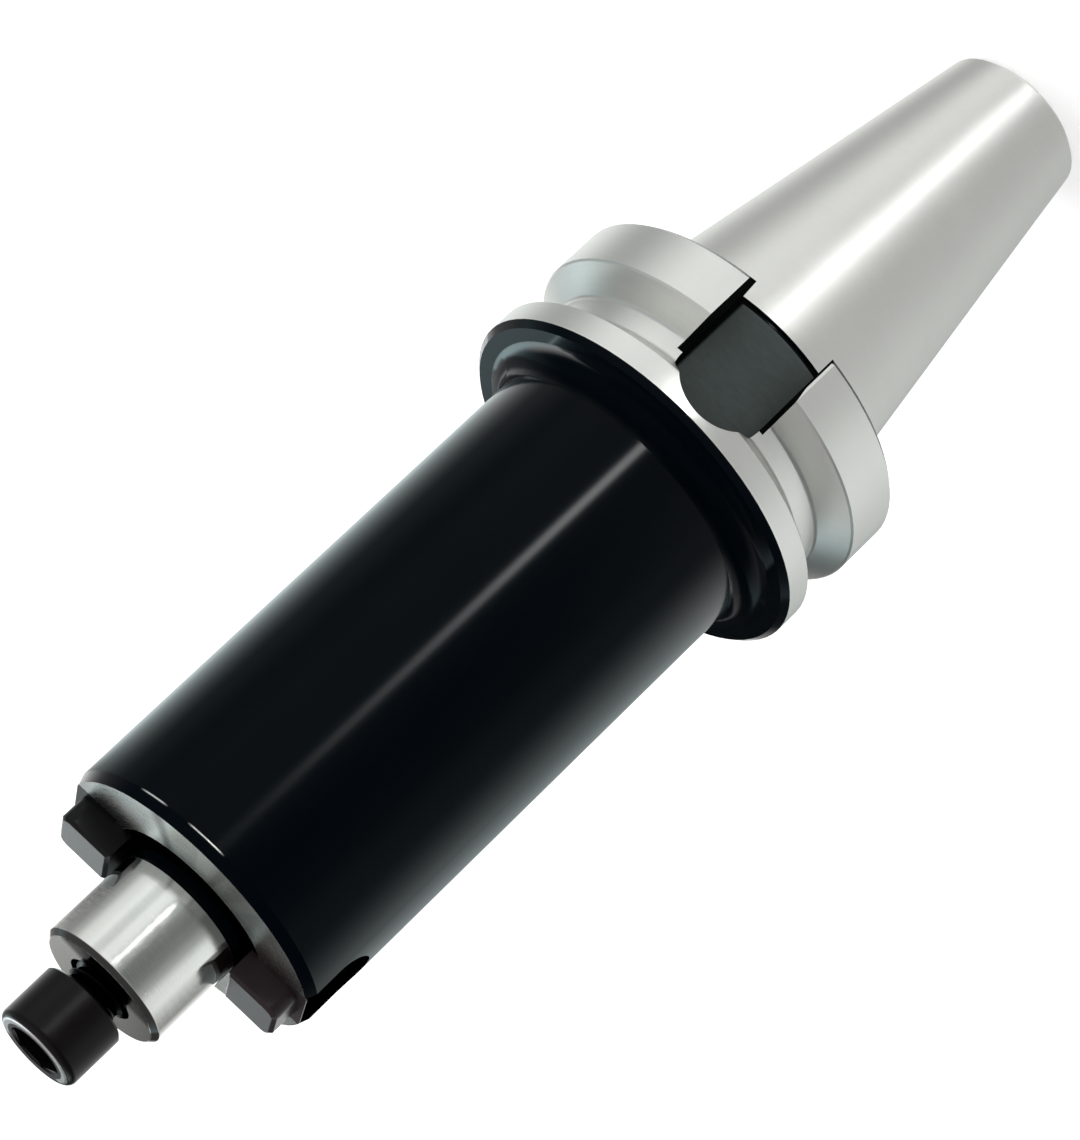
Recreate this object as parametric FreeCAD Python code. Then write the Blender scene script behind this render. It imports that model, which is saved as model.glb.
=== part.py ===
import FreeCAD, Part
import math
import os

# Shell mill holder: a steep-taper arbor with a face mill pilot, two drive keys held by
# radial screws, and the clamp screw that holds the cutter on the pilot.
# The axis is Z. The gauge line of the taper is z = 0 and +Z points to the cutter.
# All lengths are millimetres and all angles are degrees.

# Spindle taper, 7 to 24 on the diameter
gauge_diameter = 44.45
taper_run = 24.0
taper_rise = 7.0
taper_length = 65.4
taper_end_chamfer = 1.0
taper_relief_start = 1.0
taper_relief_depth = 0.5
taper_relief_slope = 0.3

# Flange with the gripper groove and the two drive slots
flange_diameter = 63.0
flange_rear = 2.0
flange_front = 27.0
flange_rear_chamfer = 0.8
flange_front_chamfer = 1.0
groove_centre = 16.6
groove_mouth = 10.0
groove_angle = 60.0
groove_depth = 5.0
groove_corner_radius = 0.8
groove_edge_break = 0.3
slot_width = 16.1
slot_floor_above_taper = 0.375
slot_rim_chamfer = 0.8

# Long body and its front face
body_diameter = 48.0
holder_length = 122.0
body_root_radius = 4.0
body_root_wall_share = 0.9
body_front_bevel_length = 1.8
body_front_bevel_depth = 0.6
face_recess_width = 3.5
face_recess_depth = 1.5

# Pilot that centres the cutter
pilot_diameter = 22.0
pilot_length = 18.0
pilot_chamfer = 0.9
pilot_root_length = 2.0
pilot_root_depth = 0.3

# Pull stud hole in the small end
stud_thread_diameter = 16.0
stud_thread_end = 30.0
stud_drill_diameter = 13.8
stud_drill_end = 40.0
stud_bore_diameter = 17.0
stud_bore_depth = 9.0
stud_mouth_chamfer = 0.8

# Clamp screw hole in the pilot
clamp_thread_diameter = 10.0
clamp_thread_root_diameter = 8.6
clamp_hole_depth = 35.0
clamp_mouth_chamfer = 0.8
drill_point_angle = 118.0

# Clamp screw, shown backed out of the pilot
clamp_screw_length = 30.0
clamp_screw_backed_out = 3.0
clamp_head_diameter = 14.4
clamp_head_height = 10.0
clamp_head_rounding = 1.2
clamp_head_rear_chamfer = 0.4
clamp_tip_chamfer = 0.8
clamp_socket_width = 8.0
clamp_socket_depth = 5.0
socket_mouth_chamfer = 0.3

# Drive keys: a tenon above the face, and a round-ended foot let into the body
key_count = 2
key_turn = 9.0
key_width = 10.0
key_height = 4.8
key_pilot_gap = 1.0
key_end_below_body = 2.6
key_seat_depth = 4.0
key_edge_chamfer = 0.6
key_end_radius = 2.0
key_side_clearance = 0.03
key_foot_width = 12.0
key_foot_length = 12.6
key_foot_thickness = 7.8
key_foot_below_body = 1.2

# Radial screws that hold the keys
key_screw_diameter = 5.0
key_screw_core_wall = 1.6
key_screw_tip_gap = 0.9
key_screw_head_diameter = 8.5
key_screw_head_height = 5.0
key_screw_head_chamfer = 0.4
key_screw_head_below_foot = 0.3
key_screw_head_clearance = 0.25
key_screw_clearance = 0.05
key_screw_foot_clearance = 0.25
key_screw_socket_width = 4.0
key_screw_socket_depth = 2.5

# Cutting tools reach this far past the stock
overrun = 5.0
matching_tolerance = 0.01

# Sizes worked out from the values above
taper_slope = taper_rise / taper_run / 2
gauge_radius = gauge_diameter / 2
taper_small_end = -taper_length
taper_small_radius = gauge_radius - taper_length * taper_slope
relief_radius = gauge_radius + taper_relief_start * taper_slope - taper_relief_depth
flange_radius = flange_diameter / 2
groove_bottom_radius = flange_radius - groove_depth
groove_slope_run = groove_depth * math.tan(math.radians(groove_angle / 2))
groove_rear = groove_centre - groove_mouth / 2
groove_front = groove_centre + groove_mouth / 2
slot_floor = gauge_radius + slot_floor_above_taper
slot_end_centre = groove_centre
body_radius = body_diameter / 2
body_root_wall = flange_radius - flange_front_chamfer - body_radius
pilot_radius = pilot_diameter / 2
pilot_end = holder_length + pilot_length
pilot_root_radius = pilot_radius - pilot_root_depth
face_recess_radius = pilot_radius + face_recess_width
face_recess_floor = holder_length - face_recess_depth
head_seat = pilot_end + clamp_screw_backed_out
head_top = head_seat + clamp_head_height
key_inner_reach = pilot_radius + key_pilot_gap
key_outer_reach = body_radius - key_end_below_body
key_foot_outer_reach = body_radius - key_foot_below_body
key_foot_inner_reach = key_foot_outer_reach - key_foot_thickness
key_foot_radius = key_foot_width / 2
key_foot_centre = holder_length - key_foot_length + key_foot_radius
key_screw_head_outer = key_foot_outer_reach - key_screw_head_below_foot
key_screw_head_inner = key_screw_head_outer - key_screw_head_height
key_screw_hole_end = clamp_thread_diameter / 2 + key_screw_core_wall
key_screw_tip = key_screw_hole_end + key_screw_tip_gap

AXIS = FreeCAD.Vector(0, 0, 1)
RADIAL = FreeCAD.Vector(1, 0, 0)
CENTRE = FreeCAD.Vector(0, 0, 0)
FULL_TURN = 360.0
HALF_TURN = 180.0


def cone_radius(z):
    """Radius of the taper at height z."""
    return gauge_radius + z * taper_slope


def turned(points):
    """Solid of revolution about Z from (radius, z) points that start and end on the axis."""
    corners = [FreeCAD.Vector(radius, 0, z) for radius, z in points]
    outline = Part.makePolygon(corners + corners[:1])
    return Part.Face(outline).revolve(CENTRE, AXIS, FULL_TURN)


def circles(shape, radius, z):
    """Full-circle edges of the shape with this radius at this height."""
    found = []
    for edge in shape.Edges:
        if not isinstance(edge.Curve, Part.Circle):
            continue
        if abs(edge.Curve.Radius - radius) > matching_tolerance:
            continue
        if abs(edge.Curve.Center.z - z) > matching_tolerance:
            continue
        found.append(edge)
    return found


def block(low, high):
    """Box between two opposite corners."""
    size = [far - near for near, far in zip(low, high)]
    return Part.makeBox(*size, FreeCAD.Vector(*low))


def drilled(radius, mouth, floor, toward):
    """Drill's sweep along Z from its mouth to its floor, with the drill's point beyond.

    toward is +1 for a hole that runs up and -1 for one that runs down.
    """
    point = radius / math.tan(math.radians(drill_point_angle / 2))
    profile = [
        (0, mouth),
        (radius, mouth),
        (radius, floor),
        (0, floor + toward * point),
    ]
    return turned(profile)


def hex_prism(width, low, high):
    """Hexagonal prism about Z with this width across flats."""
    corner = width / 2 / math.cos(math.radians(HALF_TURN / 6))
    points = []
    for side in range(6):
        turn = math.radians(side * FULL_TURN / 6)
        points.append(FreeCAD.Vector(corner * math.cos(turn), corner * math.sin(turn), low))
    outline = Part.makePolygon(points + points[:1])
    return Part.Face(outline).extrude(AXIS * (high - low))


def laid_radially(shape, z):
    """Turns a shape made along +Z to lie along +X at height z."""
    placed = shape.copy()
    placed.rotate(CENTRE, FreeCAD.Vector(0, 1, 0), HALF_TURN / 2)
    placed.translate(AXIS * z)
    return placed


def at_key(shape, number):
    """Turns a shape made on +X to where one of the keys is."""
    placed = shape.copy()
    placed.rotate(CENTRE, AXIS, key_turn + number * FULL_TURN / key_count)
    return placed


def arbor_blank():
    """The turned outside: taper, flange, long body and pilot."""
    outline = [
        (0, taper_small_end),
        (taper_small_radius - taper_end_chamfer, taper_small_end),
        (cone_radius(taper_small_end + taper_end_chamfer), taper_small_end + taper_end_chamfer),
        (cone_radius(taper_relief_start), taper_relief_start),
        (relief_radius, taper_relief_start + taper_relief_slope),
        (relief_radius, flange_rear),
        (flange_radius - flange_rear_chamfer, flange_rear),
        (flange_radius, flange_rear + flange_rear_chamfer),
        (flange_radius, groove_rear - groove_edge_break),
        (flange_radius - groove_edge_break, groove_rear),
        (groove_bottom_radius, groove_rear + groove_slope_run),
        (groove_bottom_radius, groove_front - groove_slope_run),
        (flange_radius - groove_edge_break, groove_front),
        (flange_radius, groove_front + groove_edge_break),
        (flange_radius, flange_front - flange_front_chamfer),
        (flange_radius - flange_front_chamfer, flange_front),
        (body_radius, flange_front),
        (body_radius, holder_length - body_front_bevel_length),
        (body_radius - body_front_bevel_depth, holder_length),
        (face_recess_radius, holder_length),
        (face_recess_radius, face_recess_floor),
        (pilot_root_radius, face_recess_floor),
        (pilot_root_radius, holder_length + pilot_root_length - pilot_root_depth),
        (pilot_radius, holder_length + pilot_root_length),
        (pilot_radius, pilot_end - pilot_chamfer),
        (pilot_radius - pilot_chamfer, pilot_end),
        (0, pilot_end),
    ]
    blank = turned(outline)
    # On a thicker body the fillet stays within the flange's flat front face.
    root_radius = min(body_root_radius, body_root_wall * body_root_wall_share)
    blank = blank.makeFillet(root_radius, circles(blank, body_radius, flange_front))
    corners = circles(blank, groove_bottom_radius, groove_rear + groove_slope_run)
    corners += circles(blank, groove_bottom_radius, groove_front - groove_slope_run)
    return blank.makeFillet(groove_corner_radius, corners)


def pull_stud_hole():
    """Counterbore, thread and tap drill for the pull stud, open at the small end."""
    mouth = taper_small_end - overrun
    bore_radius = stud_bore_diameter / 2
    bore = drilled(bore_radius, mouth, taper_small_end + stud_bore_depth, 0)
    thread = drilled(stud_thread_diameter / 2, mouth, taper_small_end + stud_thread_end, 0)
    drill = drilled(stud_drill_diameter / 2, mouth, taper_small_end + stud_drill_end, 1)
    lead = turned([
        (0, mouth),
        (bore_radius + stud_mouth_chamfer + overrun, mouth),
        (bore_radius, taper_small_end + stud_mouth_chamfer),
        (0, taper_small_end + stud_mouth_chamfer),
    ])
    return bore.fuse([thread, drill, lead])


def clamp_screw_hole():
    """Threaded hole for the clamp screw, open at the pilot's end."""
    mouth = pilot_end + overrun
    radius = clamp_thread_diameter / 2
    hole = drilled(radius, mouth, pilot_end - clamp_hole_depth, -1)
    lead = turned([
        (0, mouth),
        (radius + clamp_mouth_chamfer + overrun, mouth),
        (radius, pilot_end - clamp_mouth_chamfer),
        (0, pilot_end - clamp_mouth_chamfer),
    ])
    return hole.fuse(lead)


def slot_cutter():
    """Slot for a spindle drive key on the +Y side, milled from the rear to a round end."""
    half = slot_width / 2
    reach = flange_radius + overrun
    straight = block((-half, slot_floor, flange_rear - overrun), (half, reach, slot_end_centre))
    centre = FreeCAD.Vector(0, slot_floor, slot_end_centre)
    round_end = Part.makeCylinder(half, reach - slot_floor, centre, FreeCAD.Vector(0, 1, 0))
    return straight.fuse(round_end)


def rim_outline(x, depth):
    """Flange outline cut by the plane at x, this deep below the surface, open to +Y."""
    def height(radius):
        return math.sqrt(radius ** 2 - x ** 2)

    slope = math.radians(groove_angle / 2)
    shift = depth * (1 - math.sin(slope)) / math.cos(slope)
    top = height(flange_radius) - depth
    bottom = height(groove_bottom_radius) - depth
    slope_end = groove_rear + (top - bottom) * math.tan(slope)
    reach = flange_radius + overrun
    points = [
        (reach, flange_rear - overrun),
        (top, flange_rear - overrun),
        (top, groove_rear - shift),
        (bottom, slope_end - shift),
        (bottom, slot_end_centre),
        (reach, slot_end_centre),
    ]
    corners = [FreeCAD.Vector(x, y, z) for y, z in points]
    return Part.makePolygon(corners + corners[:1])


def slot_rim_cutter():
    """Chamfer along both rims of the +Y drive slot, over the rear ring and into the groove."""
    wall = slot_width / 2
    inner = rim_outline(wall, slot_rim_chamfer)
    outer = rim_outline(wall + slot_rim_chamfer, 0)
    rim = Part.makeLoft([inner, outer], True, True)
    other = rim.mirror(CENTRE, RADIAL)
    return rim, other


def key_seat():
    """Cross slot for the tenon and round-ended pocket for the foot, on +X."""
    half = key_width / 2 + key_side_clearance
    floor = holder_length - key_seat_depth
    reach = body_radius + overrun
    tenon = block(
        (key_inner_reach - key_side_clearance, -half, floor),
        (reach, half, holder_length + overrun),
    )
    radius = key_foot_radius + key_side_clearance
    foot = block(
        (key_foot_inner_reach, -radius, key_foot_centre),
        (reach, radius, holder_length + overrun),
    )
    start = FreeCAD.Vector(key_foot_inner_reach, 0, key_foot_centre)
    round_end = Part.makeCylinder(radius, reach - key_foot_inner_reach, start, RADIAL)
    return tenon.fuse([foot, round_end])


def key_screw_hole():
    """Threaded hole for a key's screw, from the foot's pocket toward the axis, on +X."""
    radius = key_screw_diameter / 2 + key_screw_clearance
    hole = turned([
        (0, key_screw_hole_end),
        (radius, key_screw_hole_end),
        (radius, key_foot_inner_reach + overrun),
        (0, key_foot_inner_reach + overrun),
    ])
    return laid_radially(hole, key_foot_centre)


def arbor_body():
    """The one-piece arbor with its holes, drive slots and key seats."""
    body = arbor_blank().cut([pull_stud_hole(), clamp_screw_hole()])
    for side in range(2):
        cutters = [slot_cutter(), *slot_rim_cutter()]
        for cutter in cutters:
            cutter.rotate(CENTRE, AXIS, side * HALF_TURN)
            body = body.cut(cutter)
    for number in range(key_count):
        body = body.cut([at_key(key_seat(), number), at_key(key_screw_hole(), number)])
    return body


def edges_where(shape, test):
    """Edges whose middle passes the test."""
    return [edge for edge in shape.Edges if test(edge.CenterOfMass)]


def drive_key():
    """One key on +X: tenon across the face, foot in the pocket, counterbore for its screw."""
    half = key_width / 2
    top = holder_length + key_height
    tenon = block(
        (key_inner_reach, -half, holder_length - key_seat_depth),
        (key_outer_reach, half, top),
    )

    def outer_upright(middle):
        at_end = abs(middle.x - key_outer_reach) < matching_tolerance
        return at_end and abs(abs(middle.y) - half) < matching_tolerance

    tenon = tenon.makeFillet(key_end_radius, edges_where(tenon, outer_upright))

    def tip_rim(middle):
        return abs(middle.z - top) < matching_tolerance

    tenon = tenon.makeChamfer(key_edge_chamfer, edges_where(tenon, tip_rim))

    foot_top = block(
        (key_foot_inner_reach, -key_foot_radius, key_foot_centre),
        (key_foot_outer_reach, key_foot_radius, holder_length),
    )
    start = FreeCAD.Vector(key_foot_inner_reach, 0, key_foot_centre)
    thickness = key_foot_outer_reach - key_foot_inner_reach
    round_end = Part.makeCylinder(key_foot_radius, thickness, start, RADIAL)
    foot = foot_top.fuse(round_end)
    # The foot's corners end on the body's round outside.
    body_round = Part.makeCylinder(
        body_radius - body_front_bevel_depth,
        holder_length,
    )
    foot = foot.common(body_round)
    key = tenon.fuse(foot).removeSplitter()

    seat_radius = key_screw_head_diameter / 2 + key_screw_head_clearance
    counterbore = turned([
        (0, key_screw_head_inner),
        (seat_radius, key_screw_head_inner),
        (seat_radius, body_radius + overrun),
        (0, body_radius + overrun),
    ])
    shank_radius = key_screw_diameter / 2 + key_screw_foot_clearance
    shank_hole = turned([
        (0, key_inner_reach),
        (shank_radius, key_inner_reach),
        (shank_radius, body_radius + overrun),
        (0, body_radius + overrun),
    ])
    holes = [laid_radially(counterbore, key_foot_centre), laid_radially(shank_hole, key_foot_centre)]
    return key.cut(holes)


def key_screw():
    """Socket head screw that holds a key, on +X."""
    head_radius = key_screw_head_diameter / 2
    outline = [
        (0, key_screw_tip),
        (key_screw_diameter / 2 - key_screw_head_chamfer, key_screw_tip),
        (key_screw_diameter / 2, key_screw_tip + key_screw_head_chamfer),
        (key_screw_diameter / 2, key_screw_head_inner),
        (head_radius, key_screw_head_inner),
        (head_radius, key_screw_head_outer - key_screw_head_chamfer),
        (head_radius - key_screw_head_chamfer, key_screw_head_outer),
        (0, key_screw_head_outer),
    ]
    socket = hex_prism(
        key_screw_socket_width,
        key_screw_head_outer - key_screw_socket_depth,
        key_screw_head_outer + overrun,
    )
    return laid_radially(turned(outline).cut(socket), key_foot_centre)


def clamp_screw():
    """Socket head screw in the pilot. Its shank is drawn at the root of the thread."""
    root = clamp_thread_root_diameter / 2
    head = clamp_head_diameter / 2
    tip = head_seat - clamp_screw_length
    outline = [
        (0, tip),
        (root - clamp_tip_chamfer, tip),
        (root, tip + clamp_tip_chamfer),
        (root, head_seat),
        (head - clamp_head_rear_chamfer, head_seat),
        (head, head_seat + clamp_head_rear_chamfer),
        (head, head_top),
        (0, head_top),
    ]
    screw = turned(outline)
    screw = screw.makeFillet(clamp_head_rounding, circles(screw, head, head_top))
    socket = hex_prism(clamp_socket_width, head_top - clamp_socket_depth, head_top + overrun)
    corner = clamp_socket_width / 2 / math.cos(math.radians(HALF_TURN / 6))
    mouth = turned([
        (0, head_top - socket_mouth_chamfer),
        (corner - socket_mouth_chamfer, head_top - socket_mouth_chamfer),
        (corner + overrun, head_top + overrun),
        (0, head_top + overrun),
    ])
    return screw.cut([socket, mouth])


def save(name, shape):
    """Writes one piece to its own file."""
    solid = shape.Solids[0] if len(shape.Solids) == 1 else shape
    if not solid.isValid() or len(shape.Solids) != 1:
        raise ValueError(name + " isn't one valid solid")
    solid.exportStep("parts/" + name + ".step")
    print(name, "volume", round(solid.Volume, 1), "faces", len(solid.Faces))


os.makedirs("parts", exist_ok=True)
save("arbor_body", arbor_body())
side_names = ("left", "right")
for number, side_name in enumerate(side_names):
    save("drive_key_" + side_name, at_key(drive_key(), number))
    save("key_screw_" + side_name, at_key(key_screw(), number))
save("clamp_screw", clamp_screw())
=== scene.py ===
import math

import bmesh
import bpy
from mathutils import Matrix, Vector


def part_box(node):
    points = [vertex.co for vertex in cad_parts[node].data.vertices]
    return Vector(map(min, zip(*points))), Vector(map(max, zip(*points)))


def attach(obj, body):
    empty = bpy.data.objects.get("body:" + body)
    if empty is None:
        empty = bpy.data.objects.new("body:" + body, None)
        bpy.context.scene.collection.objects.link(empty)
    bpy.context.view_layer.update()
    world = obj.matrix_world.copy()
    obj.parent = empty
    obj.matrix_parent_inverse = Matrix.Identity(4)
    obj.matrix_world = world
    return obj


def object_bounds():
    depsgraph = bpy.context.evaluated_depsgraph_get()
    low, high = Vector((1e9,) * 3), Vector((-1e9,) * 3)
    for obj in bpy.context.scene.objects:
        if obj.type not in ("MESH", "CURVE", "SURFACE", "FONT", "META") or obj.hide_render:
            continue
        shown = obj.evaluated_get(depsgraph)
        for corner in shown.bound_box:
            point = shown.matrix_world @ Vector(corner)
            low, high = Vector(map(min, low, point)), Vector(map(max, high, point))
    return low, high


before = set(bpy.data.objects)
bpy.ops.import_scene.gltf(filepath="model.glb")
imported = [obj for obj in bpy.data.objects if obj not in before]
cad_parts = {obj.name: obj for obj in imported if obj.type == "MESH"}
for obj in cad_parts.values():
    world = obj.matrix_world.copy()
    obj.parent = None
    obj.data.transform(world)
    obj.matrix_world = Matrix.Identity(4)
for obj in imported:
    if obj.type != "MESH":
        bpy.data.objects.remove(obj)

# Looks of a shell mill holder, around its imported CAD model.
# Everything is in metres in the CAD frame: the axis is Z, the taper's gauge line is z = 0 and
# +Z points to the cutter. Masks in the materials are worked out in millimetres.

bl_info = {
    "name": "Shell mill holder",
    "version": (1, 0, 0),
    "blender": (4, 5, 0),
    "location": "View3D > Sidebar > Holder",
    "description": "Finishes, threads and studio of a shell mill holder with a steep taper",
    "category": "Object",
}

CAD_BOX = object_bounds()
MM = 0.001
IMAGE_WIDTH = 1080
SENSOR_WIDTH = 36.0

# Places on the holder in millimetres, where the masks of the materials change over.
TAPER_RELIEF = (0.90, 2.02)
FLANGE_START = 1.9
REAR_CHAMFER_END = 2.72
SLOT_REACH = 8.09
GROOVE_CENTRE = 16.6
GROOVE_EDGES = (11.6, 21.6)
FRONT_RIM_END = 26.0
ROOT_FILLET = (27.2, 30.4)
SLOT_FLOOR_RADIUS = 22.6
BODY_RADIUS = 24.0
BODY_BEVEL = 120.2
KEY_SEAT_BOTTOM = 100.0
SEAT = 122.0
SEAT_RADII = (14.55, 23.35)
KEY_TOP = 126.8
PILOT_START = 124.0
PILOT_CHAMFER = 139.1
PILOT_END = 140.0
CLAMP_HOLE_RADIUS = 5.75
HEAD_SEAT = 143.0
HEAD_TOP = 153.0


# Settings


class FinishSettings(bpy.types.PropertyGroup):
    """Colours and gloss of the holder's finishes."""

    ground_colour: bpy.props.FloatVectorProperty(
        name="Ground steel", description="Colour of the ground taper, rings and pilot",
        default=(0.80, 0.80, 0.765), size=3, subtype="COLOR", min=0, max=1,
    )
    ground_roughness: bpy.props.FloatProperty(
        name="Ground roughness", description="Roughness of the ground steel",
        default=0.42, min=0, max=1, subtype="FACTOR",
    )
    grinding_spread: bpy.props.FloatProperty(
        name="Grinding spread", description="How far the grinding lines stretch a highlight",
        default=0.55, min=0, max=1, subtype="FACTOR",
    )
    oxide_colour: bpy.props.FloatVectorProperty(
        name="Black oxide", description="Colour of the glossy black oxide",
        default=(0.0008, 0.0026, 0.0046), size=3, subtype="COLOR", min=0, max=1,
    )
    oxide_roughness: bpy.props.FloatProperty(
        name="Oxide roughness", description="Roughness of the glossy black oxide",
        default=0.13, min=0, max=1, subtype="FACTOR",
    )
    oxide_gloss: bpy.props.FloatProperty(
        name="Oxide gloss", description="Gloss of the oiled black oxide seen square on",
        default=0.09, min=0, max=1, subtype="FACTOR",
    )
    oxide_gloss_gain: bpy.props.FloatProperty(
        name="Grazing gloss", description="Gloss that the black oxide gains at a grazing view",
        default=0.85, min=0, max=1, subtype="FACTOR",
    )
    slot_colour: bpy.props.FloatVectorProperty(
        name="Slot floor", description="Colour of the milled floor of the drive slots",
        default=(0.096, 0.114, 0.110), size=3, subtype="COLOR", min=0, max=1,
    )
    # Left key: a darker copy of the keys' black oxide, as painted shade.
    left_key_shaded_colour: bpy.props.FloatVectorProperty(
        name="Left key", description="Colour of the black oxide on the left drive key",
        default=(0.0045, 0.0042, 0.0050), size=3, subtype="COLOR", min=0, max=1,
    )
    # Right key: a lighter copy of the keys' black oxide, as painted light.
    right_key_lit_colour: bpy.props.FloatVectorProperty(
        name="Right key", description="Colour of the black oxide on the right drive key",
        default=(0.026, 0.0175, 0.0195), size=3, subtype="COLOR", min=0, max=1,
    )
    screw_colour: bpy.props.FloatVectorProperty(
        name="Screw oxide", description="Colour of the black oxide on the screws",
        default=(0.0050, 0.0034, 0.0038), size=3, subtype="COLOR", min=0, max=1,
    )
    key_roughness: bpy.props.FloatProperty(
        name="Key roughness", description="Roughness of the keys and screws",
        default=0.38, min=0, max=1, subtype="FACTOR",
    )


class ThreadSettings(bpy.types.PropertyGroup):
    """Sizes of the two threads that the CAD model leaves out."""

    clamp_pitch: bpy.props.FloatProperty(
        name="Clamp pitch", description="Pitch of the clamp screw's thread",
        default=1.5 * MM, min=0, unit="LENGTH",
    )
    clamp_crest: bpy.props.FloatProperty(
        name="Clamp crest", description="Crest radius of the clamp screw's thread",
        default=4.93 * MM, min=0, unit="LENGTH",
    )
    clamp_root: bpy.props.FloatProperty(
        name="Clamp root", description="Radius of the clamp screw's shank",
        default=4.3 * MM, min=0, unit="LENGTH",
    )
    stud_pitch: bpy.props.FloatProperty(
        name="Stud pitch", description="Pitch of the pull stud's thread",
        default=2.0 * MM, min=0, unit="LENGTH",
    )
    stud_crest: bpy.props.FloatProperty(
        name="Stud crest", description="Crest radius of the pull stud's thread",
        default=6.95 * MM, min=0, unit="LENGTH",
    )
    stud_root: bpy.props.FloatProperty(
        name="Stud root", description="Radius of the hole that carries the pull stud's thread",
        default=8.0 * MM, min=0, unit="LENGTH",
    )


class StageSettings(bpy.types.PropertyGroup):
    """Camera, floor and light of the studio."""

    camera_place: bpy.props.FloatVectorProperty(
        name="Camera", description="Place of the camera",
        default=(-0.01542, -0.61694, 0.29611), size=3, subtype="TRANSLATION", unit="LENGTH",
    )
    camera_turn: bpy.props.FloatProperty(
        name="Camera turn", description="Turn of the view about the holder's axis",
        default=math.radians(-1.43), subtype="ANGLE", unit="ROTATION",
    )
    camera_tilt: bpy.props.FloatProperty(
        name="Camera tilt", description="How far the camera looks down",
        default=math.radians(21.998), subtype="ANGLE", unit="ROTATION",
    )
    camera_roll: bpy.props.FloatProperty(
        name="Camera roll", description="Roll that lays the holder across the picture",
        default=math.radians(-133.603), subtype="ANGLE", unit="ROTATION",
    )
    focal_pixels: bpy.props.FloatProperty(
        name="Focal length", description="Focal length in pixels of the picture",
        default=4437.2, min=1,
    )
    floor_size: bpy.props.FloatProperty(
        name="Floor", description="Side of the floor",
        default=8.0, min=0, unit="LENGTH",
    )
    softbox_power: bpy.props.FloatProperty(
        name="Softbox", description="Power of the overhead softbox",
        default=14.0, min=0, subtype="POWER", unit="POWER",
    )
    room_level: bpy.props.FloatProperty(
        name="Room", description="Light from the room on rough surfaces",
        default=0.55, min=0,
    )


# Shader arithmetic


class Shade:
    """One output of a shader node. Sums and products of these add Math nodes."""

    def __init__(self, tree, output=None):
        self.tree = tree
        self.output = output

    def node(self, kind, settings=None, inputs=None, output=0):
        """Adds a node: its settings go on first, then the values or links of its sockets."""
        made = self.tree.nodes.new(kind)
        for name, value in (settings or {}).items():
            if name == "stops":
                ramp = made.color_ramp
                while len(ramp.elements) < len(value):
                    ramp.elements.new(1.0)
                for element, (place, colour) in zip(ramp.elements, value):
                    element.position = place
                    element.color = colour
            else:
                setattr(made, name, value)
        for name, value in (inputs or {}).items():
            socket = made.inputs[name]
            if isinstance(value, Shade):
                self.tree.links.new(value.output, socket)
            else:
                socket.default_value = value
        return Shade(self.tree, made.outputs[output])

    def math(self, operation, *values):
        return self.node("ShaderNodeMath", {"operation": operation}, dict(enumerate(values)))

    def __add__(self, other):
        return self.math("ADD", self, other)

    def __sub__(self, other):
        return self.math("SUBTRACT", self, other)

    def __rsub__(self, other):
        return self.math("SUBTRACT", other, self)

    def __mul__(self, other):
        return self.math("MULTIPLY", self, other)

    def __truediv__(self, other):
        return self.math("DIVIDE", self, other)

    __radd__ = __add__
    __rmul__ = __mul__

    def root(self):
        return self.math("SQRT", self)

    def size(self):
        return self.math("ABSOLUTE", self)

    def least(self, other):
        return self.math("MINIMUM", self, other)

    def most(self, other):
        return self.math("MAXIMUM", self, other)

    def rise(self, low, high):
        """0 below low and 1 above high, with a smooth step between."""
        return self.node(
            "ShaderNodeMapRange",
            {"interpolation_type": "SMOOTHSTEP"},
            {"Value": self, "From Min": low, "From Max": high, "To Min": 0.0, "To Max": 1.0},
        )

    def between(self, low, high, soft):
        """1 from low to high, with steps this soft on both sides."""
        return self.rise(low - soft, low + soft) * (1 - self.rise(high - soft, high + soft))

    def blend_value(self, low, high):
        """A value from low to high, as this one goes from 0 to 1."""
        return low + self * (high - low)

    def blend(self, low, high):
        """A colour from low to high, as this value goes from 0 to 1."""
        made = self.tree.nodes.new("ShaderNodeMix")
        made.data_type = "RGBA"
        self.tree.links.new(self.output, made.inputs[0])
        for socket, value in ((made.inputs[6], low), (made.inputs[7], high)):
            if isinstance(value, Shade):
                self.tree.links.new(value.output, socket)
            else:
                socket.default_value = (*value, 1.0)
        return Shade(self.tree, made.outputs[2])


def new_material(name):
    """A material with an empty node tree, its output node and a first Shade to write with."""
    material = bpy.data.materials.new(name)
    material.use_nodes = True
    tree = material.node_tree
    tree.nodes.clear()
    return material, tree.nodes.new("ShaderNodeOutputMaterial"), Shade(tree)


def place_in_mm(shade):
    """x, y and z of the surface in millimetres, in the CAD frame."""
    place = shade.node("ShaderNodeTexCoord", output="Object")
    split = place.node("ShaderNodeSeparateXYZ", None, {0: place})
    sockets = split.output.node.outputs
    return [Shade(shade.tree, sockets[axis]) * (1 / MM) for axis in "XYZ"]


def vector(x, y, z):
    """Three values as one vector."""
    base = next(value for value in (x, y, z) if isinstance(value, Shade))
    return base.node("ShaderNodeCombineXYZ", None, {"X": x, "Y": y, "Z": z})


def noise(place, scale, detail=2.0, roughness=0.5):
    """Smooth noise from 0 to 1 over a place in millimetres."""
    return place.node(
        "ShaderNodeTexNoise", {"noise_dimensions": "3D"},
        {"Vector": place, "Scale": scale, "Detail": detail, "Roughness": roughness},
    )


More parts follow.
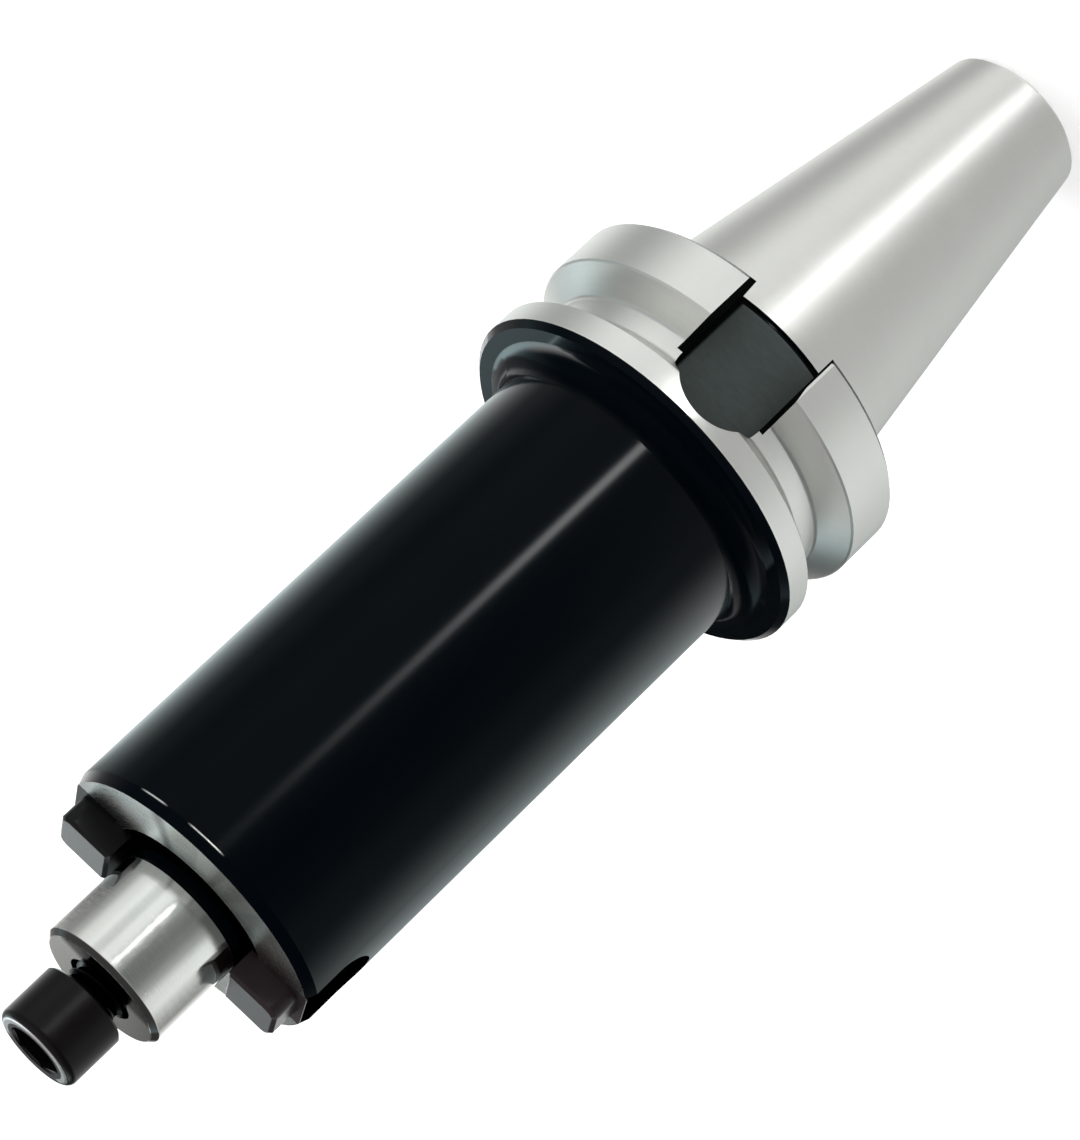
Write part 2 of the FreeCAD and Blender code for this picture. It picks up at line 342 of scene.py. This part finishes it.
def finish(shade, output, colour, metal, rough, height, fixed, bump_depth=0.000004):
    """A Principled surface: what varies is linked, and fixed holds what doesn't."""
    bump = shade.node(
        "ShaderNodeBump", None,
        {"Height": height, "Strength": 1.0, "Distance": bump_depth},
    )
    inputs = {"Base Color": colour, "Metallic": metal, "Roughness": rough, "Normal": bump}
    inputs.update(fixed)
    surface = shade.node("ShaderNodeBsdfPrincipled", None, inputs)
    shade.tree.links.new(surface.output, output.inputs["Surface"])


def gloss(shade, square_on, gain):
    """Gloss of an oil film, which is thin square on and full at a grazing view."""
    facing = shade.node("ShaderNodeLayerWeight", None, {"Blend": 0.5}, "Facing")
    return square_on + gain * facing.rise(0.28, 0.66)


def dress(node, material):
    """Puts the material in every slot of a CAD node."""
    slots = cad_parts[node].material_slots
    if not slots:
        raise RuntimeError("the CAD node " + node + " has no material slot")
    for slot in slots:
        slot.material = material


# Finishes, with painted shade and highlights


def arbor_material(finishes):
    """Ground steel, glossy black oxide and the milled slots, told apart by their place, with
    painted shade, highlights and reflections set by place too.
    """
    material, output, shade = new_material("arbor_finish")
    x, y, z = place_in_mm(shade)
    radius = (x * x + y * y).root()
    soft = 0.03

    stud_hole = (1 - radius.rise(9.25, 9.35)) * (1 - z.rise(-25.0, -24.0))
    relief = z.between(*TAPER_RELIEF, soft) * (1 - radius.rise(22.9, 23.0))
    rear_chamfer = z.between(FLANGE_START, REAR_CHAMFER_END, soft) * radius.rise(30.66, 30.74)
    rear = 1 - z.rise(FRONT_RIM_END - soft, FRONT_RIM_END + soft)
    rear = rear * (1 - stud_hole) * (1 - relief) * (1 - rear_chamfer)
    seat = z.rise(SEAT - 0.10, SEAT - 0.05) * (1 - z.rise(SEAT + 0.20, SEAT + 0.30))
    seat = seat * radius.between(*SEAT_RADII, soft)
    pilot_chamfer = z.rise(PILOT_CHAMFER + 0.02, PILOT_CHAMFER + 0.08) * radius.rise(10.12, 10.2)
    pilot = z.rise(PILOT_START - soft, PILOT_START + soft) * (1 - pilot_chamfer)
    pilot = pilot * radius.rise(CLAMP_HOLE_RADIUS, CLAMP_HOLE_RADIUS + 0.05)

    past_centre = (z - GROOVE_CENTRE).most(0.0)
    reach = (x * x + past_centre * past_centre).root()
    # Painted shade: the rims on one side of each slot are black, and those on the other side ground
    # bright.
    shaded_rim = 1 - (x * y).rise(-1.0, 1.0)
    rim = 0.30 + 0.45 * z.rise(8.0, 12.0)
    straight_part = 1 - z.rise(GROOVE_CENTRE, GROOVE_CENTRE + 0.05)
    limit = SLOT_REACH + straight_part * shaded_rim.blend_value(rim, 1.05)
    in_slot = (1 - (reach - limit).rise(0.0, 0.02)) * y.size().rise(21.9, 22.0)
    in_slot = in_slot * z.rise(FLANGE_START, FLANGE_START + 0.05)
    floor_start = 2.0 + x * x * 0.013
    shaded = shaded_rim * x.size().rise(6.9, 7.5) * (1 - z.rise(18.8, 19.6))
    slot_floor = 1 - y.size().rise(SLOT_FLOOR_RADIUS + 0.01, SLOT_FLOOR_RADIUS + 0.06)
    slot_floor = in_slot * slot_floor * (z - floor_start).rise(0.0, 0.06) * (1 - shaded)

    # The pockets of the keys and the hole of the clamp screw, which no light reaches.
    skin = radius + (z - BODY_BEVEL).most(0.0) * 0.3333
    near_end = z.rise(KEY_SEAT_BOTTOM, KEY_SEAT_BOTTOM + 0.5)
    deep = (1 - skin.rise(BODY_RADIUS - 0.18, BODY_RADIUS - 0.10)) * near_end
    deep = deep * (1 - z.rise(SEAT - 0.05, SEAT))
    bore = (1 - radius.rise(CLAMP_HOLE_RADIUS - 0.05, CLAMP_HOLE_RADIUS)) * near_end
    hidden = deep.most(bore)

    along = z + radius
    lines = noise(vector(along * 6.0, x / radius * 3.0, y / radius * 3.0), 1.0, 3.0, 0.65)
    clouds = noise(vector(x, y, z), 0.12, 3.0)

    # Painted reflection: light and dark spokes on the seat, as a turned face mirrors its
    # surroundings. Partly wear and partly painted highlight: two bare steel places on the front of
    # the bevel's edge, set where the bevel glints.
    side = x / radius
    reflected_spokes = side.between(0.05, 0.16, 0.03) + 1.2 * side.between(-0.35, -0.27, 0.03)
    reflected_spokes = reflected_spokes - 1.3 * side.between(0.45, 0.54, 0.04) - 0.8 * side.between(-0.07, 0.0, 0.02)
    places = side.between(0.50, 0.64, 0.03) + side.between(0.06, 0.30, 0.03)
    wear_and_glint = z.between(BODY_BEVEL - 0.06, BODY_BEVEL + 0.16, 0.03) * places
    wear_and_glint = wear_and_glint * (1 - y.rise(-1.0, 1.0)) * (1 - deep)
    # Painted highlights: thin bright lines on the edges of the groove and at the front end of the
    # front ring.
    edge_highlights = z.between(GROOVE_EDGES[0] - 0.15, GROOVE_EDGES[0] + 0.12, 0.04)
    edge_highlights = edge_highlights + z.between(GROOVE_EDGES[1] - 0.10, GROOVE_EDGES[1] + 0.15, 0.04)
    edge_highlights = edge_highlights * radius.rise(31.2, 31.3) + z.between(FRONT_RIM_END - 0.3, FRONT_RIM_END, 0.04)
    ground = (rear.most(seat).most(pilot).most(wear_and_glint)) * (1 - in_slot)
    shade_of_head = z.rise(PILOT_END - 0.10, PILOT_END - 0.05) * (1 - y.rise(-6.2, -3.4))
    bright = 0.90 + lines * 0.10 + clouds * 0.08 + seat * (reflected_spokes * 0.35 - 0.15) + edge_highlights * 0.25
    bright = bright * (1 - 0.97 * shade_of_head)
    steel = bright.blend((0, 0, 0), tuple(finishes.ground_colour))
    black = clouds.blend(
        tuple(0.85 * part for part in finishes.oxide_colour),
        tuple(1.2 * part for part in finishes.oxide_colour),
    )
    black = hidden.blend(black, (0.0003, 0.0003, 0.0003))
    black = pilot_chamfer.blend(black, (0.040, 0.039, 0.038))
    milled = noise(vector(x * 0.6, y, z * 2.0), 1.0, 2.0)
    floor = milled.blend(
        tuple(0.85 * part for part in finishes.slot_colour),
        tuple(1.15 * part for part in finishes.slot_colour),
    )
    # Painted shade: in the slots all but the milled floor is near black, that is the walls, the
    # shaded rims and the strip of floor beside them.
    dark = in_slot.blend(black, (0.004, 0.0045, 0.0045))
    dark = slot_floor.blend(dark, floor)
    colour = ground.blend(dark, steel)

    flange = z.rise(FLANGE_START - 0.4, FLANGE_START - 0.3)
    ground_rough = finishes.ground_roughness - 0.04 * flange - 0.27 * pilot - 0.10 * seat
    ground_rough = ground_rough + (lines - 0.5) * 0.10
    black_rough = finishes.oxide_roughness + (clouds - 0.5) * 0.04 + in_slot * 0.35 + hidden * 0.6
    rough = ground * ground_rough + (1 - ground) * black_rough
    # The oil film is thinner in the root fillet: painted shade in the crease.
    root_fillet = z.between(*ROOT_FILLET, 0.3) * (1 - radius.rise(27.2, 27.9))
    oil_film_and_fillet_shade = (1 - ground) * (1 - in_slot) * (1 - hidden) * (1 - 0.6 * root_fillet)
    finish(
        shade, output, colour, ground, rough, lines,
        {
            "Specular IOR Level": 0.0,
            "Anisotropic": finishes.grinding_spread,
            "Anisotropic Rotation": 0.25,
            "Coat Weight": oil_film_and_fillet_shade * gloss(shade, finishes.oxide_gloss, finishes.oxide_gloss_gain),
            "Coat Roughness": finishes.oxide_roughness,
        },
    )
    return material


def oxide_material(name, finishes, tone, bare=None, hidden=None, steel=(0.18, 0.42)):
    """Satin black oxide. bare gives a mask of ground steel, and hidden one of unlit black."""
    material, output, shade = new_material(name)
    x, y, z = place_in_mm(shade)
    grain = noise(vector(x, y, z), 2.5, 3.0, 0.6)
    clouds = noise(vector(x, y, z), 0.35, 2.0)
    colour = clouds.blend(tuple(0.8 * part for part in tone), tuple(1.25 * part for part in tone))
    rough = finishes.key_roughness + (grain - 0.5) * 0.12
    metal = clouds * 0.0
    film = gloss(shade, 0.35, 0.65)
    if bare:
        mask = bare(x, y, z)
        colour = mask.blend(colour, grain.blend((steel[0],) * 3, (steel[1],) * 3))
        metal = mask
        film = film * (1 - mask)
    if hidden:
        mask = hidden(x, y, z)
        colour = mask.blend(colour, (0.0003, 0.0003, 0.0003))
        film = film * (1 - mask)
    finish(
        shade, output, colour, metal, rough, grain,
        {"Specular IOR Level": 0.0, "Coat Weight": film, "Coat Roughness": 0.28}, 0.000006,
    )
    return material


class HOLDER_OT_arbor_finish(bpy.types.Operator):
    """Finish the arbor: ground taper, rings and pilot, black oxide body and milled slots"""

    bl_idname = "holder.arbor_finish"
    bl_label = "Arbor finish"

    def execute(self, context):
        dress("arbor_body", arbor_material(context.scene.holder_finish))
        return {"FINISHED"}


class HOLDER_OT_key_finish(bpy.types.Operator):
    """Finish the two drive keys: satin black oxide with ground tips"""

    bl_idname = "holder.key_finish"
    bl_label = "Key finish"

    def execute(self, context):
        def tips(x, y, z):
            return z.rise(KEY_TOP - 0.10, KEY_TOP - 0.03)

        # Painted shade: the foot of each key, down in its pocket, is unlit black.
        def foot(x, y, z):
            return 1 - z.rise(SEAT - 0.3, SEAT - 0.1)

        finishes = context.scene.holder_finish
        # Lit and shaded copies of one black oxide: painted light and shade on the two keys.
        for side, tone in (
            ("left", finishes.left_key_shaded_colour), ("right", finishes.right_key_lit_colour),
        ):
            material = oxide_material("key_finish_" + side, finishes, tuple(tone), tips, foot)
            dress("drive_key_" + side, material)
        return {"FINISHED"}


class HOLDER_OT_screw_finish(bpy.types.Operator):
    """Finish the clamp screw and the key screws in satin black oxide"""

    bl_idname = "holder.screw_finish"
    bl_label = "Screw finish"

    def execute(self, context):
        def ring(x, y, z):
            # Bare steel ring on the end of the head, cut away on the +Y side and weaker near x = 0:
            # partly wear, partly painted highlight and shade.
            end = z.rise(HEAD_TOP - 0.10, HEAD_TOP - 0.04) * (x * x + y * y).rise(27.5, 29.0)
            wear_and_glint = 1 - (y - 0.12 * x).rise(2.4, 3.3)
            return end * wear_and_glint * x.size().rise(0.3, 4.5).blend_value(0.5, 1.0)

        # Painted shade: the clamp screw below its head is unlit black.
        def below_head(x, y, z):
            return 1 - z.rise(HEAD_SEAT - 0.10, HEAD_SEAT + 0.05)

        # Painted shade: the key screws, down in their pockets, are wholly unlit black.
        def whole(x, y, z):
            return 1 - z.rise(HEAD_TOP, HEAD_TOP + 1.0)

        finishes = context.scene.holder_finish
        tone = tuple(finishes.screw_colour)
        material = oxide_material(
            "clamp_screw_finish", finishes, tone, ring, below_head, (0.50, 0.80),
        )
        dress("clamp_screw", material)
        for side in ("left", "right"):
            material = oxide_material("key_screw_finish_" + side, finishes, tone, None, whole)
            dress("key_screw_" + side, material)
        return {"FINISHED"}


# Threads


def thread(name, root, crest, crest_width, pitch, low, high, steps=64):
    """A helical ridge about Z from low to high, that runs out into its root at both ends.

    The section is a circle of four corners, given the thread's form and swept by a modifier.
    """
    bpy.ops.object.select_all(action="DESELECT")
    sink = 0.05 * MM * (1 if crest > root else -1)
    base = root - sink
    base_width = crest_width + 2 * abs(crest - base) * math.tan(math.radians(30))
    bpy.ops.mesh.primitive_circle_add(vertices=4, radius=abs(crest - base), location=(0, 0, 0))
    ridge = bpy.context.object
    ridge.name = name
    corners = [
        (base, low), (crest, low + (base_width - crest_width) / 2),
        (crest, low + (base_width + crest_width) / 2), (base, low + base_width),
    ]
    bpy.ops.object.mode_set(mode="EDIT")
    mesh = bmesh.from_edit_mesh(ridge.data)
    mesh.verts.ensure_lookup_table()
    for vertex, (radius, z) in zip(mesh.verts, corners):
        vertex.co = (radius, 0, z)
    bmesh.update_edit_mesh(ridge.data)
    bpy.ops.object.mode_set(mode="OBJECT")
    turns = (high - low - base_width) / pitch
    sections = int(steps * turns)
    sweep = ridge.modifiers.new("sweep", "SCREW")
    sweep.axis = "Z"
    sweep.angle = turns * math.tau
    sweep.screw_offset = turns * pitch
    sweep.steps = sweep.render_steps = sections
    sweep.use_merge_vertices = False
    bpy.ops.object.modifier_apply(modifier=sweep.name)
    bpy.ops.object.mode_set(mode="EDIT")
    mesh = bmesh.from_edit_mesh(ridge.data)
    for vertex in mesh.verts:
        out = math.hypot(vertex.co.x, vertex.co.y)
        if abs(out - crest) > abs(out - base):
            continue
        # The crest sinks over the first and the last half turn.
        climbed = (vertex.co.z - corners[1][1]) / pitch
        share = min(1.0, max(0.0, 2 * climbed), max(0.0, 2 * (turns - climbed)))
        scale = (base + (crest - base) * share) / out
        vertex.co.x *= scale
        vertex.co.y *= scale
    bmesh.update_edit_mesh(ridge.data)
    bpy.ops.mesh.select_all(action="SELECT")
    bpy.ops.mesh.fill_holes(sides=4)
    bpy.ops.mesh.normals_make_consistent(inside=False)
    bpy.ops.object.mode_set(mode="OBJECT")
    bpy.ops.object.shade_smooth_by_angle(angle=math.radians(35))
    return ridge


class HOLDER_OT_clamp_thread(bpy.types.Operator):
    """Cut the thread of the clamp screw, which fades out below the head"""

    bl_idname = "holder.clamp_thread"
    bl_label = "Clamp screw thread"

    def execute(self, context):
        sizes = context.scene.holder_thread
        low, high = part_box("clamp_screw")
        ridge = thread(
            "clamp_screw_thread", sizes.clamp_root, sizes.clamp_crest, sizes.clamp_pitch / 8,
            sizes.clamp_pitch, low.z + 0.6 * MM, low.z + 29.6 * MM,
        )
        finishes = context.scene.holder_finish
        # Painted shade: the clamp screw's thread is near black, darker than the screw's own oxide.
        ridge.data.materials.append(
            oxide_material("clamp_thread_unlit_black", finishes, (0.0004, 0.0004, 0.0004))
        )
        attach(ridge, "cutter_clamp")
        return {"FINISHED"}


class HOLDER_OT_stud_thread(bpy.types.Operator):
    """Cut the pull stud's thread in the small end of the taper"""

    bl_idname = "holder.stud_thread"
    bl_label = "Pull stud thread"

    def execute(self, context):
        sizes = context.scene.holder_thread
        low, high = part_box("arbor_body")
        ridge = thread(
            "pull_stud_thread", sizes.stud_root, sizes.stud_crest, sizes.stud_pitch / 4,
            sizes.stud_pitch, low.z + 9.2 * MM, low.z + 30.0 * MM,
        )
        finishes = context.scene.holder_finish
        ridge.data.materials.append(
            oxide_material("stud_thread_finish", finishes, tuple(finishes.screw_colour))
        )
        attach(ridge, "holder")
        return {"FINISHED"}


# Studio


FLOOR_GLOW = 0.50
STRIP_TURN = 168.0


def floor_material():
    """Pale floor that shows white to the camera and keeps the holder's shadow."""
    material, output, shade = new_material("floor_finish")
    grain = noise(vector(*place_in_mm(shade)), 0.01, 2.0)
    colour = grain.blend((0.80, 0.80, 0.80), (0.84, 0.84, 0.84))
    matt = shade.node("ShaderNodeBsdfDiffuse", None, {"Color": colour})
    seen = shade.node("ShaderNodeLightPath", output="Is Camera Ray")
    glow = shade.node(
        "ShaderNodeEmission", None, {"Color": (1, 1, 1, 1), "Strength": seen * FLOOR_GLOW},
    )
    both = shade.node("ShaderNodeAddShader", None, {0: matt, 1: glow})
    shade.tree.links.new(both.output, output.inputs["Surface"])
    return material


def studio_world(stage):
    """White surroundings for the camera, and a soft studio around the holder for reflections."""
    world = bpy.data.worlds.new("studio")
    world.use_nodes = True
    world.cycles.sampling_method = "NONE"
    tree = world.node_tree
    tree.nodes.clear()
    output = tree.nodes.new("ShaderNodeOutputWorld")
    shade = Shade(tree)
    direction = shade.node("ShaderNodeTexCoord", output="Generated")
    split = direction.node("ShaderNodeSeparateXYZ", None, {0: direction})
    x, y, z = (Shade(tree, split.output.node.outputs[axis]) for axis in "XYZ")
    # Turn round the axis, from 0 at +Y through +X, -Y and -X to 1.
    azimuth = shade.math("ARCTAN2", y, x) / math.tau
    turn = shade.math("FRACT", 1.25 - azimuth)
    level = level_ramp(turn, *BANDS[0][2:])
    for low, high, tint, levels in BANDS[1:]:
        level = z.rise(low, high).blend(level, level_ramp(turn, tint, levels))
    # A narrow strip lamp, brightest where the body mirrors it close to the flange.
    strip = (turn * 360 - STRIP_TURN).size()
    strip = (1 - strip.rise(0.9, 4.4)) * z.rise(-0.85, -0.75) * (1 - z.rise(-0.325, -0.290))
    upper_part = z.rise(-0.435, -0.412) * (1 - z.rise(-0.36, -0.30))
    brightest = z.rise(-0.435, -0.412) * (1 - z.rise(-0.40, -0.35))
    strip = strip * (4.5 + 9.0 * upper_part + 60.0 * brightest)
    path = shade.node("ShaderNodeLightPath")
    outputs = path.output.node.outputs
    camera = Shade(tree, outputs["Is Camera Ray"])
    mirror = Shade(tree, outputs["Is Glossy Ray"]).most(Shade(tree, outputs["Is Transmission Ray"]))
    brightness = level.node(
        "ShaderNodeVectorMath", {"operation": "ADD"}, {0: level, 1: vector(strip, strip, strip)},
    )
    room = mirror.blend((stage.room_level,) * 3, brightness)
    colour = camera.blend(room, (1.0, 1.0, 1.0))
    back = shade.node("ShaderNodeBackground", None, {"Color": colour, "Strength": 1.0})
    tree.links.new(back.output, output.inputs["Surface"])
    bpy.context.scene.world = world


def level_ramp(turn, tint, levels):
    """Brightness by the turn round the axis, in the tint of the band."""
    stops = [(place / 360, (*(level * part for part in tint), 1.0)) for place, level in levels]
    return turn.node("ShaderNodeValToRGB", {"stops": stops}, {"Fac": turn})


# Brightness of the surroundings in reflections, by degrees round the axis from +Y through +X, -Y
# and -X. Each band gives the height in the direction of the reflection, from -1 to 1, over which
# its levels take over from those of the band before, and then its tint.
WHITE = (1.0, 1.0, 1.0)
COOL = (0.88, 1.0, 1.0)
COOLER = (0.76, 1.0, 1.04)
BANDS = (
    (-1.0, -1.0, WHITE, (
        (0.0, 0.75), (10.0, 1.05), (28.0, 1.22), (42.0, 0.84), (58.0, 0.52), (72.0, 0.33),
        (88.0, 0.47), (104.0, 0.98), (120.0, 0.92), (136.0, 0.72), (152.0, 0.36), (184.0, 0.60),
        (200.0, 0.55), (216.0, 0.52), (232.0, 0.49), (248.0, 0.42), (264.0, 0.38), (280.0, 0.42),
        (296.0, 0.40), (312.0, 0.40), (328.0, 0.38), (346.0, 0.50), (360.0, 0.75),
    )),
    (-0.60, -0.48, WHITE, (
        (0.0, 0.80), (10.0, 1.10), (24.0, 1.30), (40.0, 1.10), (56.0, 0.64), (72.0, 0.38),
        (88.0, 0.65), (104.0, 1.15), (120.0, 1.55), (136.0, 1.30), (152.0, 1.25), (184.0, 0.90),
        (200.0, 1.00), (216.0, 1.30), (232.0, 1.35), (248.0, 1.50), (264.0, 1.35), (280.0, 1.35),
        (296.0, 1.15), (312.0, 0.90), (328.0, 0.75), (346.0, 0.45), (360.0, 0.80),
    )),
    (-0.400, -0.385, COOL, (
        (0.0, 0.80), (10.0, 1.10), (24.0, 1.20), (40.0, 0.90), (56.0, 0.50), (72.0, 0.22),
        (88.0, 0.45), (104.0, 0.80), (120.0, 1.10), (136.0, 1.10), (152.0, 1.00), (184.0, 0.45),
        (200.0, 0.25), (216.0, 0.30), (232.0, 0.45), (248.0, 1.00), (264.0, 1.20), (280.0, 1.05),
        (296.0, 0.85), (312.0, 0.72), (328.0, 0.68), (346.0, 0.45), (360.0, 0.80),
    )),
    (-0.284, -0.274, WHITE, (
        (0.0, 1.10), (8.0, 1.10), (20.0, 0.42), (36.0, 0.10), (56.0, 0.10), (72.0, 0.22),
        (88.0, 0.40), (100.0, 0.85), (122.0, 1.10), (131.0, 0.62), (139.0, 0.58), (146.0, 1.15),
        (157.0, 1.20), (162.0, 0.90), (167.0, 0.40), (171.0, 0.15),
        (200.0, 0.16), (216.0, 0.24), (232.0, 0.50), (246.0, 1.00),
        (266.0, 0.98), (280.0, 0.55), (296.0, 0.34), (312.0, 0.28), (326.0, 0.80), (344.0, 1.40),
        (360.0, 1.10),
    )),
    (-0.245, -0.238, WHITE, (
        (0.0, 1.20), (24.0, 1.60), (40.0, 1.10), (56.0, 0.70), (72.0, 0.45), (104.0, 0.80),
        (152.0, 0.70), (176.0, 0.80), (186.0, 0.15), (216.0, 0.12), (232.0, 0.25), (248.0, 0.45),
        (264.0, 0.60), (280.0, 0.70), (312.0, 0.40), (344.0, 0.45), (360.0, 1.20),
    )),
    (-0.10, 0.05, WHITE, (
        (0.0, 0.06), (1.0, 0.18), (2.2, 0.42), (4.0, 0.58), (12.0, 0.45), (30.0, 0.30),
        (60.0, 0.30), (120.0, 0.40), (170.0, 0.35), (215.0, 0.08), (300.0, 0.04), (355.0, 0.02),
        (360.0, 0.06),
    )),
    (0.32, 0.36, COOLER, (
        (0.0, 0.0), (2.1, 0.02), (3.3, 0.52), (6.0, 0.60), (9.0, 2.60), (17.0, 3.20), (26.0, 1.40),
        (40.0, 0.70), (60.0, 0.50), (120.0, 0.50), (170.0, 0.35), (215.0, 0.08), (300.0, 0.30),
        (318.0, 0.80), (334.0, 0.80), (344.0, 0.03), (360.0, 0.0),
    )),
    (0.46, 0.56, WHITE, (
        (0.0, 0.30), (5.0, 1.60), (12.0, 3.40), (26.0, 3.00), (38.0, 0.40), (54.0, 0.15),
        (90.0, 0.60), (150.0, 0.60), (190.0, 0.35), (270.0, 0.20), (300.0, 0.30), (316.0, 0.82),
        (330.0, 0.80), (340.0, 0.12), (350.0, 0.10), (360.0, 0.30),
    )),
    (0.72, 0.80, WHITE, (
        (0.0, 0.95), (20.0, 1.60), (34.0, 0.80), (48.0, 0.38), (70.0, 0.45), (90.0, 0.70),
        (150.0, 0.60), (190.0, 0.50), (270.0, 0.40), (298.0, 0.35), (312.0, 1.00), (332.0, 0.70),
        (343.0, 0.30), (352.0, 0.55), (360.0, 0.85),
    )),
)


def softbox(name, place, target, size, power):
    """A rectangular lamp that faces the target."""
    data = bpy.data.lights.new(name, "AREA")
    data.shape = "RECTANGLE"
    data.size, data.size_y = size
    data.energy = power
    lamp = bpy.data.objects.new(name, data)
    bpy.context.scene.collection.objects.link(lamp)
    toward = Vector(target) - Vector(place)
    turn = toward.to_track_quat("-Z", "Y").to_matrix().to_4x4()
    lamp.matrix_world = Matrix.Translation(place) @ turn
    return lamp


class HOLDER_OT_stage(bpy.types.Operator):
    """Set up the floor, the soft light and the camera"""

    bl_idname = "holder.stage"
    bl_label = "Studio"

    def execute(self, context):
        stage = context.scene.holder_stage
        scene = context.scene
        floor_height = CAD_BOX[0][2]
        bpy.ops.object.select_all(action="DESELECT")
        bpy.ops.mesh.primitive_plane_add(size=stage.floor_size, location=(0, 0, floor_height))
        floor = context.object
        floor.name = "studio_floor"
        floor.data.materials.append(floor_material())
        floor.visible_glossy = False
        studio_world(stage)
        lamp = softbox(
            "overhead_softbox", (0.5, 0.3, 1.3), (0, 0, 0.04), (1.4, 1.4), stage.softbox_power,
        )
        lamp.visible_glossy = False

        data = bpy.data.cameras.new("camera")
        data.sensor_fit = "HORIZONTAL"
        data.sensor_width = SENSOR_WIDTH
        data.lens = stage.focal_pixels * SENSOR_WIDTH / IMAGE_WIDTH
        data.clip_start = 0.01
        data.clip_end = 50.0
        camera = bpy.data.objects.new("camera", data)
        scene.collection.objects.link(camera)
        turn = Matrix.Rotation(stage.camera_turn, 4, "Z")
        tilt = Matrix.Rotation(math.radians(90) - stage.camera_tilt, 4, "X")
        roll = Matrix.Rotation(stage.camera_roll, 4, "Z")
        camera.matrix_world = Matrix.Translation(stage.camera_place) @ turn @ tilt @ roll
        scene.camera = camera
        scene.view_settings.view_transform = "Standard"
        return {"FINISHED"}


# Panel and registration


class HOLDER_PT_panel(bpy.types.Panel):
    """Lists the settings and the operators of the holder"""

    bl_label = "Shell mill holder"
    bl_idname = "HOLDER_PT_panel"
    bl_space_type = "VIEW_3D"
    bl_region_type = "UI"
    bl_category = "Holder"

    def draw(self, context):
        layout = self.layout
        for group in ("holder_stage", "holder_finish", "holder_thread"):
            settings = getattr(context.scene, group)
            box = layout.box()
            for name in settings.__annotations__:
                box.prop(settings, name)
        for operator in OPERATORS:
            layout.operator(operator.bl_idname)


SETTINGS = {
    "holder_finish": FinishSettings,
    "holder_thread": ThreadSettings,
    "holder_stage": StageSettings,
}
OPERATORS = (
    HOLDER_OT_arbor_finish,
    HOLDER_OT_key_finish,
    HOLDER_OT_screw_finish,
    HOLDER_OT_clamp_thread,
    HOLDER_OT_stud_thread,
    HOLDER_OT_stage,
)


def register():
    for group in SETTINGS.values():
        bpy.utils.register_class(group)
    for name, group in SETTINGS.items():
        setattr(bpy.types.Scene, name, bpy.props.PointerProperty(type=group))
    for operator in OPERATORS:
        bpy.utils.register_class(operator)
    bpy.utils.register_class(HOLDER_PT_panel)


def unregister():
    bpy.utils.unregister_class(HOLDER_PT_panel)
    for operator in reversed(OPERATORS):
        bpy.utils.unregister_class(operator)
    for name in SETTINGS:
        delattr(bpy.types.Scene, name)
    for group in reversed(SETTINGS.values()):
        bpy.utils.unregister_class(group)


def main():
    register()
    bpy.ops.holder.stage()
    bpy.ops.holder.arbor_finish()
    bpy.ops.holder.key_finish()
    bpy.ops.holder.screw_finish()
    bpy.ops.holder.clamp_thread()
    bpy.ops.holder.stud_thread()


if __name__ == "__main__":
    main()
